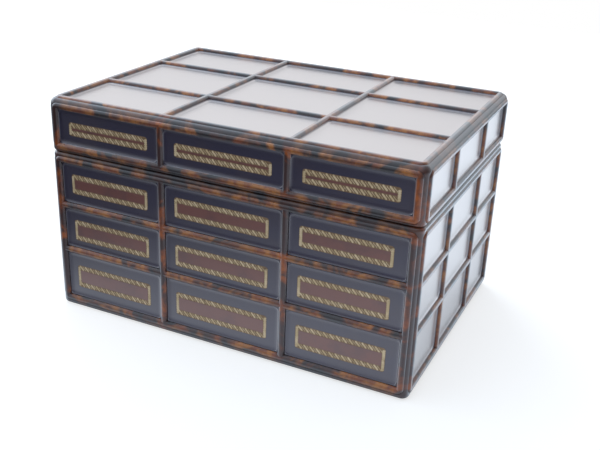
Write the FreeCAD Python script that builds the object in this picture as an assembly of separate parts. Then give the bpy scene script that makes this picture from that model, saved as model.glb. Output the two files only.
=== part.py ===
import FreeCAD, Part
import os

# Mahjong case: a wooden box with a hinged lid and nine drawers in three rows of three.
# Every outside wall is a grid of coved leather panels between half-round beads, inside a
# half-round frame that stands a little proud of the rounded posts and rails behind it.
# Millimetres, +Z up, the front faces -Y, the origin is under the middle of the base.

# Whole case
case_width = 350.0
case_depth = 247.0
body_height = 153.2             # table to the top of the body
lid_height = 49.8
seam_gap = 0.4                  # between the body and the closed lid

# Wall, from the outside in: relief, leather, board
relief_depth = 4.5              # bead crest down to the flat of a panel
leather_thickness = 1.0
wall_board_thickness = 5.5

# Rails and beads of the outside grid
case_bottom_rail_height = 10.4
case_top_rail_height = 9.4
lid_bottom_rail_height = 8.0
bottom_row_height = 44.6        # the lowest row of panels is taller than the two above it
bead_width = 6.0
bead_crest_flat = 0.4           # flat left along the top of a half-round bead
crest_step = 0.15               # each bead lies this much lower than the one it runs into
frame_depth = 3.0               # the bead round a whole grid, from its crest to its back
frame_corner_radius = 5.5
column_pitch = 117.8            # between the two uprights of the front, back and lid
depth_pitch = 87.4              # between the two uprights of each side

# Posts and rails, set back behind the crests of the frames
edge_setback = 1.4
corner_radius = 6.6             # upright corners of the case
lid_top_radius = 5.6
seam_radius = 2.6
base_radius = 3.6

# Coved leather panels
panel_land = 0.6                # narrow flat around the rim of a panel
cove_radius = 2.3
panel_corner_radius = 4.0

# Base, deck and linings
base_felt_thickness = 0.8
base_felt_inset = 6.5
deck_thickness = 6.0
lining_thickness = 1.0
lining_clearance = 0.5
lip_thickness = 3.0
lip_rise = 6.0                  # locating lip above the body's top
lip_clearance = 0.5

# Drawers
drawer_reveal = 0.5             # gap all round a drawer's face
drawer_lift = 0.3               # running gap under a drawer
drawer_side_thickness = 5.0
drawer_bottom_thickness = 3.0
drawer_headroom = 3.0           # drawer side down from the bay's ceiling
stop_length = 6.0
stop_width = 14.0
stop_height = 9.0
stop_gap = 0.3

# Two butt hinges let into the back rails
hinge_spacing = 220.0
hinge_length = 36.0
knuckle_count = 3
barrel_radius = 2.0
hinge_pin_radius = 0.9
hinge_pin_clearance = 0.05
knuckle_gap = 0.3
barrel_clearance = 0.35
leaf_thickness = 1.3
leaf_width = 8.0
screw_spacing = 24.0
screw_head_radius = 1.7
screw_head_height = 0.8
screw_shank_radius = 0.8
screw_length = 6.0
screw_clearance = 0.05

# Derived sizes
skin_depth = relief_depth + leather_thickness
wall_thickness = skin_depth + wall_board_thickness
bead_radius = (bead_width - bead_crest_flat) / 2
stile_level, rung_level = 1, 2
half_width, half_depth = case_width / 2, case_depth / 2
inner_half_width, inner_half_depth = half_width - wall_thickness, half_depth - wall_thickness
bay_floor = base_felt_thickness + case_bottom_rail_height
bay_ceiling = body_height - case_top_rail_height
upper_row_height = (bay_ceiling - bay_floor - bottom_row_height - 2 * bead_width) / 2
lid_bottom = body_height + seam_gap
case_height = lid_bottom + lid_height
lid_panel_bottom = lid_bottom + lid_bottom_rail_height
lid_panel_top = case_height - wall_thickness
panel_rim_depth = relief_depth - cove_radius
deck_top = bay_ceiling + deck_thickness
lip_top = body_height + lip_rise
hinge_axis_y = half_depth - barrel_radius
hinge_axis_z = body_height + seam_gap / 2
drawer_back_y = inner_half_depth - stop_length - stop_gap

X, Y, Z = FreeCAD.Vector(1, 0, 0), FreeCAD.Vector(0, 1, 0), FreeCAD.Vector(0, 0, 1)
TOUCH = 1e-6


def three_spans(low, high, pitch):
    """The three openings that two beads, a pitch apart, leave between low and high."""
    middle = (low + high) / 2
    inner = pitch / 2 - bead_width / 2
    outer = pitch / 2 + bead_width / 2
    return [(low, middle - outer), (middle - inner, middle + inner), (middle + outer, high)]


front_columns = three_spans(-inner_half_width, inner_half_width, column_pitch)
side_columns = three_spans(-inner_half_depth, inner_half_depth, depth_pitch)
lower_rung_top = bay_floor + bottom_row_height + bead_width
upper_rung_top = lower_rung_top + upper_row_height + bead_width
case_rows = [(upper_rung_top, bay_ceiling),
             (lower_rung_top, lower_rung_top + upper_row_height),
             (bay_floor, bay_floor + bottom_row_height)]
lid_rows = [(lid_panel_bottom, lid_panel_top)]

# Each wall is modelled as the front one, its outside in the plane y = 0 and its depth along +Y,
# and turned about Z to its own side. The number is the wall's distance from the middle.
WALLS = {"front": (0, half_depth, front_columns), "right": (90, half_width, side_columns),
         "back": (180, half_depth, front_columns), "left": (270, half_width, side_columns)}


def box(x0, x1, y0, y1, z0, z1):
    return Part.makeBox(x1 - x0, y1 - y0, z1 - z0, FreeCAD.Vector(x0, y0, z0))


def cylinder(radius, start, axis, length):
    return Part.makeCylinder(radius, length, start, axis)


def edges_where(shape, direction, test=lambda point: True):
    """Straight edges along a direction whose ends both pass the test."""
    found = []
    for edge in shape.Edges:
        ends = [vertex.Point for vertex in edge.Vertexes]
        if len(ends) == 2 and (ends[1] - ends[0]).cross(direction).Length < TOUCH:
            if all(test(point) for point in ends):
                found.append(edge)
    return found


def edges_at(shape, axis, level):
    """Edges that lie in the plane at a level along an axis."""
    return [edge for edge in shape.Edges
            if all(abs(vertex.Point.dot(axis) - level) < TOUCH for vertex in edge.Vertexes)]


def on_wall(shape, side):
    """Turn a piece modelled on the front wall to the named side of the case."""
    angle, distance, _ = WALLS[side]
    turned = shape.translated(FreeCAD.Vector(0, -distance, 0))
    return turned.rotated(FreeCAD.Vector(), Z, angle)


def on_lid_top(shape):
    """Lay a piece modelled on the front wall onto the top of the lid."""
    laid = shape.rotated(FreeCAD.Vector(), X, -90)
    return laid.translated(FreeCAD.Vector(0, 0, case_height))


def write(node, solids):
    """Write one sub-part: a single solid, or a group of like ones."""
    solids = [solid for shape in solids for solid in shape.Solids]
    shape = solids[0] if len(solids) == 1 else Part.makeCompound(solids)
    shape.exportStep(f"parts/{node}.step")


def cope(piece, others):
    """Shape a piece to what it runs into."""
    return piece.cut([other for other in others if piece.BoundBox.intersect(other.BoundBox)])


def envelope(bottom, top, bottom_radius, top_radius):
    """The rounded block that a ring of posts and rails is cut to."""
    reach_x, reach_y = half_width - edge_setback, half_depth - edge_setback
    block = box(-reach_x, reach_x, -reach_y, reach_y, bottom, top)
    block = block.makeFillet(corner_radius, edges_where(block, Z))
    for level, radius in ((bottom, bottom_radius), (top, top_radius)):
        block = block.makeFillet(radius, edges_at(block, Z, level))
    return block


def corner_posts(outline, bottom, top, rebates):
    """Four corner posts, rebated where the bead frames lie over them."""
    posts = []
    for sx, sy in ((-1, -1), (1, -1), (1, 1), (-1, 1)):
        xs = sorted((sx * inner_half_width, sx * half_width))
        ys = sorted((sy * inner_half_depth, sy * half_depth))
        posts.append(cope(box(*xs, *ys, bottom, top).common(outline), rebates))
    return posts


def wall_rails(outline, bottom, top, rebates):
    """A rail along each wall between the posts, rebated where the bead frames lie over it."""
    rails = {}
    for side, (_, _, columns) in WALLS.items():
        rail = box(columns[0][0], columns[-1][1], 0, wall_thickness, bottom, top)
        rails[side] = cope(on_wall(rail, side).common(outline), rebates)
    return rails


def bead(u0, u1, v0, v1, level, upright):
    """A half-round bead on the front wall's plane, from its crest to the board behind it."""
    crest = level * crest_step
    strip = box(u0, u1, crest, skin_depth, v0, v1)
    crest_edges = edges_where(strip, Z if upright else X, lambda point: point.y < crest + TOUCH)
    return strip.makeFillet(bead_radius, crest_edges)


def frame_slab(columns, rows):
    """The slab that a bead frame is shaped from, which is also the rebate that it lies in."""
    slab = box(columns[0][0] - bead_width, columns[-1][1] + bead_width, 0, frame_depth,
               rows[-1][0] - bead_width, rows[0][1] + bead_width)
    return slab.makeFillet(frame_corner_radius, edges_where(slab, Y))


def bead_frame(columns, rows):
    """The half-round bead round a whole grid, on the front wall's plane, mitred inside."""
    slab = frame_slab(columns, rows)
    slab = slab.makeFillet(bead_radius, edges_at(slab, Y, 0))
    u0, u1, v0, v1 = columns[0][0], columns[-1][1], rows[-1][0], rows[0][1]
    beyond = 2 * bead_width
    bars = [bead(u0 - beyond, u0, v0 - beyond, v1 + beyond, 0, True),
            bead(u1, u1 + beyond, v0 - beyond, v1 + beyond, 0, True),
            bead(u0 - beyond, u1 + beyond, v0 - beyond, v0, 0, False),
            bead(u0 - beyond, u1 + beyond, v1, v1 + beyond, 0, False)]
    return slab.common(bars[0].fuse(bars[1:]))


def grid_beads(columns, rows, place, neighbours):
    """Uprights and the rungs between them, each coped to what it runs into."""
    low, high = rows[-1][0], rows[0][1]
    stiles = [place(bead(left[1], right[0], low - bead_radius, high + bead_radius, stile_level, True))
              for left, right in zip(columns, columns[1:])]
    stiles = [cope(stile, neighbours) for stile in stiles]
    rungs = [place(bead(u0 - bead_radius, u1 + bead_radius, lower[1], upper[0], rung_level, False))
             for upper, lower in zip(rows, rows[1:]) for u0, u1 in columns]
    return stiles + [cope(rung, neighbours + stiles) for rung in rungs]


def coved_panel(u0, u1, v0, v1):
    """A leather panel whose edges sweep up in a cove, on the front wall's plane."""
    block = box(u0, u1, panel_rim_depth, skin_depth, v0, v1)
    hollow = box(u0 + panel_land, u1 - panel_land, -panel_rim_depth, relief_depth,
                 v0 + panel_land, v1 - panel_land)
    hollow = hollow.makeFillet(panel_corner_radius, edges_where(hollow, Y))
    return block.cut(hollow.makeFillet(cove_radius, edges_at(hollow, Y, relief_depth)))


def wall_panels(sides, rows):
    return [on_wall(coved_panel(*column, *row), side)
            for side in sides for row in rows for column in WALLS[side][2]]


def wall_board(side, bottom, top):
    columns = WALLS[side][2]
    board = box(columns[0][0], columns[-1][1], skin_depth, wall_thickness, bottom, top)
    return on_wall(board, side)


def hinge_places():
    return [-hinge_spacing / 2, hinge_spacing / 2]


def hinge_barrel(x0, x1, radius):
    return cylinder(radius, FreeCAD.Vector(x0, hinge_axis_y, hinge_axis_z), X, x1 - x0)


def knuckle_spans(middle):
    """The barrel's knuckles, the body's and the lid's in turn; the first and last are the body's."""
    start = middle - hinge_length / 2
    step = (hinge_length + knuckle_gap) / knuckle_count
    return [(start + i * step, start + (i + 1) * step - knuckle_gap) for i in range(knuckle_count)]


def leaf_block(middle, for_lid):
    low = lid_bottom if for_lid else body_height - leaf_thickness
    return box(middle - hinge_length / 2, middle + hinge_length / 2,
               hinge_axis_y - leaf_width, hinge_axis_y, low, low + leaf_thickness)


def screw(x, y, for_lid, grow):
    """A countersunk screw, its head flush with its leaf; grow makes the hole for it."""
    surface, way = (lid_bottom, Z) if for_lid else (body_height, -Z)
    head = Part.makeCone(screw_head_radius + grow, screw_shank_radius + grow, screw_head_height,
                         FreeCAD.Vector(x, y, surface), way)
    shank = cylinder(screw_shank_radius + grow, FreeCAD.Vector(x, y, surface), way, screw_length + grow)
    return head.fuse(shank).removeSplitter()


def hinge_screws(for_lid, grow):
    row_y = hinge_axis_y - leaf_width / 2 - barrel_radius / 2
    return [screw(middle + side * screw_spacing / 2, row_y, for_lid, grow)
            for middle in hinge_places() for side in (-1, 0, 1)]


def hinge_leaves(for_lid):
    """The leaves of both hinges on one body, with their knuckles, bores and screw holes."""
    leaves = []
    cleared_radius = barrel_radius + barrel_clearance
    bore_radius = hinge_pin_radius + hinge_pin_clearance
    for middle in hinge_places():
        spans = knuckle_spans(middle)
        own, other = (spans[1::2], spans[0::2]) if for_lid else (spans[0::2], spans[1::2])
        leaf = leaf_block(middle, for_lid)
        leaf = leaf.cut([hinge_barrel(x0 - knuckle_gap, x1 + knuckle_gap, cleared_radius)
                         for x0, x1 in other])
        leaf = leaf.fuse([hinge_barrel(x0, x1, barrel_radius) for x0, x1 in own])
        bore = hinge_barrel(middle - hinge_length, middle + hinge_length, bore_radius)
        leaves.append(leaf.cut([bore] + hinge_screws(for_lid, screw_clearance)).removeSplitter())
    return leaves


def hinge_recess(for_lid):
    """What a back rail loses to its leaves, barrels and screws."""
    reach = hinge_length / 2 + knuckle_gap
    cuts = [leaf_block(middle, for_lid) for middle in hinge_places()]
    cuts += [hinge_barrel(middle - reach, middle + reach, barrel_radius + barrel_clearance)
             for middle in hinge_places()]
    return cuts + hinge_screws(for_lid, screw_clearance)


def make_case_shell():
    """The body's posts, rails, boards, leather and beads."""
    outline = envelope(base_felt_thickness, body_height, base_radius, seam_radius)
    frames = {side: on_wall(bead_frame(WALLS[side][2], case_rows), side) for side in WALLS}
    rebates = [on_wall(frame_slab(WALLS[side][2], case_rows), side) for side in WALLS]
    posts = corner_posts(outline, base_felt_thickness, body_height, rebates)
    bottom_rails = wall_rails(outline, base_felt_thickness, bay_floor, rebates)
    top_rails = wall_rails(outline, bay_ceiling, body_height, rebates)
    around = [*posts, *bottom_rails.values(), *top_rails.values(), *frames.values()]
    top_rails["back"] = top_rails["back"].cut(hinge_recess(False))
    write("case_corner_posts", posts)
    write("case_bottom_rails", bottom_rails.values())
    write("case_top_rails", top_rails.values())
    for side in ("left", "right", "back"):
        write(f"case_{side}_board", [wall_board(side, bay_floor, bay_ceiling)])
    write("case_wall_panels", wall_panels(("right", "back", "left"), case_rows))
    beads = {side: [frames[side]] + grid_beads(columns, case_rows,
                                               lambda shape: on_wall(shape, side), around)
             for side, (_, _, columns) in WALLS.items()}
    write("front_beads", beads["front"])
    write("case_wall_beads", beads["right"] + beads["back"] + beads["left"])


def make_case_inside():
    """Base, partitions, shelves, stops, deck, linings and the lip that locates the lid."""
    front_edge = -half_depth + skin_depth
    write("base_felt", [box(-half_width + base_felt_inset, half_width - base_felt_inset,
                            -half_depth + base_felt_inset, half_depth - base_felt_inset,
                            0, base_felt_thickness)])
    write("base_board", [box(-inner_half_width, inner_half_width, -inner_half_depth, inner_half_depth,
                             base_felt_thickness, bay_floor)])
    write("partitions", [box(left[1], right[0], front_edge, inner_half_depth, bay_floor, bay_ceiling)
                         for left, right in zip(front_columns, front_columns[1:])])
    write("drawer_shelves", [box(*column, front_edge, inner_half_depth, lower[1], upper[0])
                             for upper, lower in zip(case_rows, case_rows[1:])
                             for column in front_columns])
    stop_front = inner_half_depth - stop_length
    write("drawer_stops", [box(sum(column) / 2 - stop_width / 2, sum(column) / 2 + stop_width / 2,
                               stop_front, inner_half_depth, row[0], row[0] + stop_height)
                           for row in case_rows for column in front_columns])
    write("deck_board", [box(-inner_half_width, inner_half_width, -inner_half_depth, inner_half_depth,
                             bay_ceiling, deck_top)])
    lip_x, lip_y = inner_half_width - lip_clearance, inner_half_depth - lip_clearance
    write("locating_lip",
          [box(-lip_x, lip_x, *sorted((sy * lip_y, sy * (lip_y - lip_thickness))), deck_top, lip_top)
           for sy in (-1, 1)]
          + [box(*sorted((sx * lip_x, sx * (lip_x - lip_thickness))), -lip_y + lip_thickness,
                 lip_y - lip_thickness, deck_top, lip_top) for sx in (-1, 1)])
    lining_x = lip_x - lip_thickness - lining_clearance
    lining_y = lip_y - lip_thickness - lining_clearance
    write("deck_lining", [box(-lining_x, lining_x, -lining_y, lining_y,
                              deck_top, deck_top + lining_thickness)])


def make_lid():
    """The lid's posts, rails, boards, leather, beads and lining."""
    outline = envelope(lid_bottom, case_height - edge_setback, seam_radius, lid_top_radius)
    top_rows = side_columns[::-1]
    top_frame = on_lid_top(bead_frame(front_columns, top_rows))
    wall_frames = {side: on_wall(bead_frame(WALLS[side][2], lid_rows), side) for side in WALLS}
    rebates = [on_wall(frame_slab(WALLS[side][2], lid_rows), side) for side in WALLS]
    rebates.append(on_lid_top(frame_slab(front_columns, top_rows)))
    posts = corner_posts(outline, lid_bottom, case_height, rebates)
    bottom_rails = wall_rails(outline, lid_bottom, lid_panel_bottom, rebates)
    top_rails = wall_rails(outline, lid_panel_top, case_height, rebates)
    around = [*posts, *bottom_rails.values(), *top_rails.values(), top_frame,
              *wall_frames.values()]
    bottom_rails["back"] = bottom_rails["back"].cut(hinge_recess(True))
    write("lid_corner_posts", posts)
    write("lid_bottom_rails", bottom_rails.values())
    write("lid_top_rails", top_rails.values())
    write("lid_wall_boards", [wall_board(side, lid_panel_bottom, lid_panel_top) for side in WALLS])
    write("lid_wall_panels", wall_panels(WALLS, lid_rows))
    wall_beads = list(wall_frames.values())
    for side, (_, _, columns) in WALLS.items():
        wall_beads += grid_beads(columns, lid_rows, lambda shape: on_wall(shape, side), around)
    write("lid_wall_beads", wall_beads)
    write("lid_top_panels", [on_lid_top(coved_panel(*column, *row)) for row in top_rows
                             for column in front_columns])
    write("lid_top_beads", [top_frame] + grid_beads(front_columns, top_rows, on_lid_top, around))
    write("lid_top_board", [box(-inner_half_width, inner_half_width, -inner_half_depth, inner_half_depth,
                                lid_panel_top, case_height - skin_depth)])
    write("lid_lining", [box(-inner_half_width + lining_clearance, inner_half_width - lining_clearance,
                             -inner_half_depth + lining_clearance, inner_half_depth - lining_clearance,
                             lid_panel_top - lining_thickness, lid_panel_top)])


def make_hinges():
    """The leaves, screws and pins of both hinges."""
    write("hinge_case_leaves", hinge_leaves(False))
    write("hinge_lid_leaves", hinge_leaves(True))
    write("hinge_case_screws", hinge_screws(False, 0))
    write("hinge_lid_screws", hinge_screws(True, 0))
    reach = hinge_length / 2
    write("hinge_pins", [hinge_barrel(middle - reach, middle + reach, hinge_pin_radius)
                         for middle in hinge_places()])


def make_drawer(name, column, row):
    """One drawer: the leather face, the four boards of the box and the bottom they stand on."""
    x0, x1 = column[0] + drawer_reveal, column[1] - drawer_reveal
    bottom, top = row[0] + drawer_reveal, row[1] - drawer_reveal
    board_front = -half_depth + skin_depth
    board_back = board_front + wall_board_thickness
    box_floor = row[0] + drawer_lift + drawer_bottom_thickness
    box_top = row[1] - drawer_headroom
    write(f"{name}_face", [on_wall(coved_panel(x0, x1, bottom, top), "front")])
    write(f"{name}_bottom", [box(x0, x1, board_back, drawer_back_y, row[0] + drawer_lift, box_floor)])
    write(f"{name}_box", [
        box(x0, x1, board_front, board_back, bottom, top),
        box(x0, x0 + drawer_side_thickness, board_back, drawer_back_y, box_floor, box_top),
        box(x1 - drawer_side_thickness, x1, board_back, drawer_back_y, box_floor, box_top),
        box(x0 + drawer_side_thickness, x1 - drawer_side_thickness,
            drawer_back_y - drawer_side_thickness, drawer_back_y, box_floor, box_top)])


os.makedirs("parts", exist_ok=True)
make_case_shell()
make_case_inside()
make_lid()
make_hinges()
for row_number, row_span in enumerate(case_rows, 1):
    for column_number, column_span in enumerate(front_columns, 1):
        make_drawer(f"drawer_r{row_number}c{column_number}", column_span, row_span)
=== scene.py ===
"""Looks of a mahjong case with nine drawers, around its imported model.

The case is a wooden box in polished blue-black leather. Every outside wall is a grid of coved
leather panels between half-round beads in a faux tortoiseshell lacquer, and the front panels
carry a burgundy field inside a gold-tooled rope border.
Metres, +Z up, the front faces -Y, the origin is under the middle of the base.
"""
import logging
import math
from dataclasses import dataclass, field, replace
from enum import Enum
from typing import Any, Iterable, Protocol, Sequence

import bmesh
import bpy
import numpy as np
from mathutils import Matrix, Vector


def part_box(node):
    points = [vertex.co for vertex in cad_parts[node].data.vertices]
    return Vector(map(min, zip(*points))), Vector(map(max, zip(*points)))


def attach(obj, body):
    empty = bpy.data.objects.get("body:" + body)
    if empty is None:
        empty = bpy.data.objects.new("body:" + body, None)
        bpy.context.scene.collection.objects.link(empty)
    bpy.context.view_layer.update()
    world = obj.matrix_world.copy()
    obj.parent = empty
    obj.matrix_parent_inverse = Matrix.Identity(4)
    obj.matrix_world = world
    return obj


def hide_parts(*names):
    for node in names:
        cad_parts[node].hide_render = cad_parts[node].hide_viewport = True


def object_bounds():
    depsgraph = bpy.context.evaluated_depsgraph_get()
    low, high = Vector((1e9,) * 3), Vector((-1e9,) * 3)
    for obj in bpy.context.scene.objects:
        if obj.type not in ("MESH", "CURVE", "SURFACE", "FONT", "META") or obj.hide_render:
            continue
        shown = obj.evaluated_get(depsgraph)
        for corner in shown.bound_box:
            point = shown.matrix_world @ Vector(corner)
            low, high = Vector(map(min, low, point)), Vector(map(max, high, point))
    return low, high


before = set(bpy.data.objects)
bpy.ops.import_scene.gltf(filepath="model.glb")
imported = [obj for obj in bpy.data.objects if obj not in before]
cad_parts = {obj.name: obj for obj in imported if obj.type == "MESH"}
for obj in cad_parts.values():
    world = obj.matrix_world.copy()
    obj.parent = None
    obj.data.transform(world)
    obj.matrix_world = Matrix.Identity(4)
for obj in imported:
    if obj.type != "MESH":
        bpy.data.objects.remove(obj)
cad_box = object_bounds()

Colour = tuple[float, float, float, float]
Triple = tuple[float, float, float]
Pair = tuple[float, float]

MM = 0.001
RIGHT, BACK, UP, DOWN = (1.0, 0.0, 0.0), (0.0, 1.0, 0.0), (0.0, 0.0, 1.0), (0.0, 0.0, -1.0)
WHITE, BLACK = (1.0, 1.0, 1.0, 1.0), (0.0, 0.0, 0.0, 1.0)
log = logging.getLogger("mahjong_case")


def tint(red: int, green: int, blue: int) -> Colour:
    """A colour off a display's chart, taken through the display's curve to linear light.

    Args:
        red: its red, 0 to 255.
        green: its green.
        blue: its blue.

    Returns:
        The colour as a shader takes it.
    """
    channels = [value / 255 for value in (red, green, blue)]
    linear = [c / 12.92 if c <= 0.04045 else ((c + 0.055) / 1.055) ** 2.4 for c in channels]
    return (*linear, 1.0)


# ---------------------------------------------------------------- shader maths


class Signal:
    """A shader value. Python arithmetic on it adds Math nodes."""

    def __init__(self, graph: "Graph", socket: bpy.types.NodeSocket) -> None:
        """Wrap one output socket of a graph."""
        self.graph = graph
        self.socket = socket

    def _math(self, operation: str, *operands: "Signal | float") -> "Signal":
        """Add a Math node that works on operands, in order."""
        settings = {"operation": operation}
        return self.graph.signal("ShaderNodeMath", settings, dict(enumerate(operands)))

    def __add__(self, other: "Signal | float") -> "Signal":
        """Sum."""
        return self._math("ADD", self, other)

    __radd__ = __add__

    def __sub__(self, other: "Signal | float") -> "Signal":
        """Difference."""
        return self._math("SUBTRACT", self, other)

    def __rsub__(self, other: float) -> "Signal":
        """A number less this value."""
        return self._math("SUBTRACT", other, self)

    def __mul__(self, other: "Signal | float") -> "Signal":
        """Product."""
        return self._math("MULTIPLY", self, other)

    __rmul__ = __mul__

    def __pow__(self, other: "Signal | float") -> "Signal":
        """Power."""
        return self._math("POWER", self, other)

    def __rpow__(self, other: float) -> "Signal":
        """A number to the power of this value."""
        return self._math("POWER", other, self)

    def __abs__(self) -> "Signal":
        """Size without the sign."""
        return self._math("ABSOLUTE", self)

    def larger(self, other: "Signal | float") -> "Signal":
        """The larger of two values."""
        return self._math("MAXIMUM", self, other)

    def smaller(self, other: "Signal | float") -> "Signal":
        """The smaller of two values."""
        return self._math("MINIMUM", self, other)

    def between(self, first: float, last: float) -> "Signal":
        """A number that goes from first to last as this value goes from 0 to 1."""
        return self * (last - first) + first


class Ray(Enum):
    """Kinds of light ray that a shader tells apart."""

    CAMERA = "Is Camera Ray"
    GLOSSY = "Is Glossy Ray"


class Graph:
    """The node tree of one material or of the world."""

    def __init__(self, tree: bpy.types.NodeTree) -> None:
        """Start on an empty tree."""
        tree.nodes.clear()
        self.tree = tree

    def add(self, kind: str, settings: dict[str, Any] | None = None,
            values: dict[Any, Any] | None = None) -> bpy.types.Node:
        """Add one node.

        Args:
            kind: the node's type.
            settings: its own properties, set before its sockets.
            values: numbers, colours, signals or sockets for its inputs, by name or place.

        Returns:
            The node.
        """
        node = self.tree.nodes.new(kind)
        for key, value in (settings or {}).items():
            setattr(node, key, value)
        for key, value in (values or {}).items():
            if isinstance(value, Signal):
                value = value.socket
            if isinstance(value, bpy.types.NodeSocket):
                self.tree.links.new(value, node.inputs[key])
            else:
                node.inputs[key].default_value = value
        return node

    def signal(self, kind: str, settings: dict[str, Any] | None = None,
               values: dict[Any, Any] | None = None, output: str | int = 0) -> Signal:
        """Add one node and return one of its outputs as a value."""
        return Signal(self, self.add(kind, settings, values).outputs[output])

    def ray(self, kind: Ray) -> Signal:
        """1 for light rays of one kind, 0 for the others."""
        return self.signal("ShaderNodeLightPath", output=kind.value)

    def place(self) -> Signal:
        """Where a point lies in the case's own frame, in metres."""
        return self.signal("ShaderNodeTexCoord", output="Object")

    def outward(self) -> Signal:
        """The way the surface looks, in the piece's own frame."""
        return self.signal("ShaderNodeTexCoord", output="Normal")

    def along(self, vector: Signal, way: Triple) -> Signal:
        """How far a vector reaches along a way."""
        return self.signal("ShaderNodeVectorMath", {"operation": "DOT_PRODUCT"},
                           {0: vector, 1: way}, output="Value")

    def scaled(self, scale: Triple) -> Signal:
        """The place, scaled differently along X, Y and Z."""
        return self.signal("ShaderNodeVectorMath", {"operation": "MULTIPLY"},
                           {0: self.place(), 1: scale})

    def cells(self, size: float) -> Signal:
        """Distance in a pattern of soft cells about one size across."""
        return self.signal("ShaderNodeTexVoronoi", {"feature": "SMOOTH_F1"},
                           {"Vector": self.place(), "Scale": 1 / size})

    def rise(self, value: Signal, low: float, high: float) -> Signal:
        """A smooth step from 0 at low to 1 at high."""
        return self.signal("ShaderNodeMapRange", {"interpolation_type": "SMOOTHSTEP"},
                           {"Value": value, "From Min": low, "From Max": high})

    def blend(self, share: Signal, first: Any, second: Any) -> Signal:
        """Two colours mixed, all of the second where share is 1."""
        node = self.add("ShaderNodeMix", {"data_type": "RGBA"}, {0: share, 6: first, 7: second})
        return Signal(self, node.outputs[2])

    def shader(self, values: dict[str, Any]) -> bpy.types.Node:
        """Add the shader that every surface is made of."""
        return self.add("ShaderNodeBsdfPrincipled", values=values)

    def bump(self, height: Signal, depth: float, strength: float = 1.0,
             under: Signal | None = None) -> Signal:
        """A normal bent by a height.

        Args:
            height: the height, 0 to 1.
            depth: what a height of 1 is worth, in metres.
            strength: how much of the bending counts.
            under: the normal of a larger relief underneath.

        Returns:
            The normal.
        """
        values = {"Height": height, "Distance": depth, "Strength": strength}
        if under is not None:
            values["Normal"] = under
        return self.signal("ShaderNodeBump", values=values)


@dataclass(frozen=True)
class Fade:
    """A smooth change from 0 to 1 along a way.

    Attributes:
        way: the way it goes.
        start: how far along it starts.
        end: how far along it is complete.
    """

    way: Triple
    start: float
    end: float

    def over(self, graph: Graph, vector: Signal) -> Signal:
        """The change over a place or a direction."""
        return graph.rise(graph.along(vector, self.way), self.start, self.end)


@dataclass(frozen=True)
class Pattern:
    """Soft noise on a surface, and the patches that are read from it.

    Attributes:
        size: across one feature.
        detail: octaves of finer noise.
        roughness: how much the finer octaves count.
        distortion: how far the noise warps itself.
        edge: the noise's value where a patch starts and where it is full.
        scale: what X, Y and Z are multiplied by; a small number draws the pattern out that way.
    """

    size: float
    detail: float = 2.0
    roughness: float = 0.5
    distortion: float = 0.0
    edge: Pair = (0.4, 0.6)
    scale: Triple | None = None

    def noise(self, graph: Graph) -> Signal:
        """Add the noise.

        Args:
            graph: the material's graph.

        Returns:
            Its value, 0 to 1.
        """
        place = graph.scaled(self.scale) if self.scale else graph.place()
        values = {"Vector": place, "Scale": 1 / self.size, "Detail": self.detail,
                  "Roughness": self.roughness, "Distortion": self.distortion}
        return graph.signal("ShaderNodeTexNoise", {"noise_dimensions": "3D"}, values)

    def patches(self, noise: Signal) -> Signal:
        """The patches in the pattern's noise: 1 inside one, 0 between them."""
        return noise.graph.rise(noise, *self.edge)

    def spread(self, graph: Graph) -> Signal:
        """Noise and patches at once, where only the patches are wanted."""
        return self.patches(self.noise(graph))


# ---------------------------------------------------------------- finishes


@dataclass(frozen=True)
class Gloss:
    """How a polished surface mirrors what is round it, more at a glancing angle.

    Attributes:
        head_on: the mirrored share seen straight on.
        glancing: how much the share gains towards a glancing view.
        bend: how late it gains.
        roughness: blur of the mirror image.
        most: the largest mirrored share.
        hue: colour of the mirror image.
        wax: weight of the thin clear wax on top, which gives the crisp glints.
        wax_roughness: blur of those glints.
        downward_shade: the slopes that look down, where the gloss is cut as painted shade under the
            beads.
        shade_strength: how much of the gloss is lost there, as painted shade.
    """

    head_on: float = 0.08
    glancing: float = 2.5
    bend: float = 3.0
    roughness: float = 0.3
    most: float = 0.72
    hue: Colour = (1.0, 0.975, 0.98, 1.0)
    wax: float = 0.12
    wax_roughness: float = 0.05
    downward_shade: Fade = Fade(DOWN, 0.05, 0.5)
    shade_strength: float = 0.85

    def over(self, graph: Graph, base: bpy.types.Node, normal: Signal) -> bpy.types.Node:
        """Lay the gloss over a base shader.

        Args:
            graph: the material's graph.
            base: the shader underneath.
            normal: the surface's bumped normal.

        Returns:
            The mixed shader.
        """
        facing = graph.signal("ShaderNodeLayerWeight", values={"Blend": 0.5, "Normal": normal},
                              output="Facing")
        # painted shade: less mirror on slopes that look down, as if the beads above shaded them
        downward_shade = self.downward_shade.over(graph, graph.outward())
        share = (facing ** self.bend * self.glancing + self.head_on).smaller(self.most)
        share = share * (1.0 - downward_shade * self.shade_strength)
        mirror = graph.shader({
            "Base Color": self.hue, "Metallic": 1.0, "Roughness": self.roughness, "Normal": normal,
            "Coat Weight": self.wax, "Coat Roughness": self.wax_roughness})
        return graph.add("ShaderNodeMixShader", values={
            0: share, 1: base.outputs[0], 2: mirror.outputs[0]})


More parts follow.
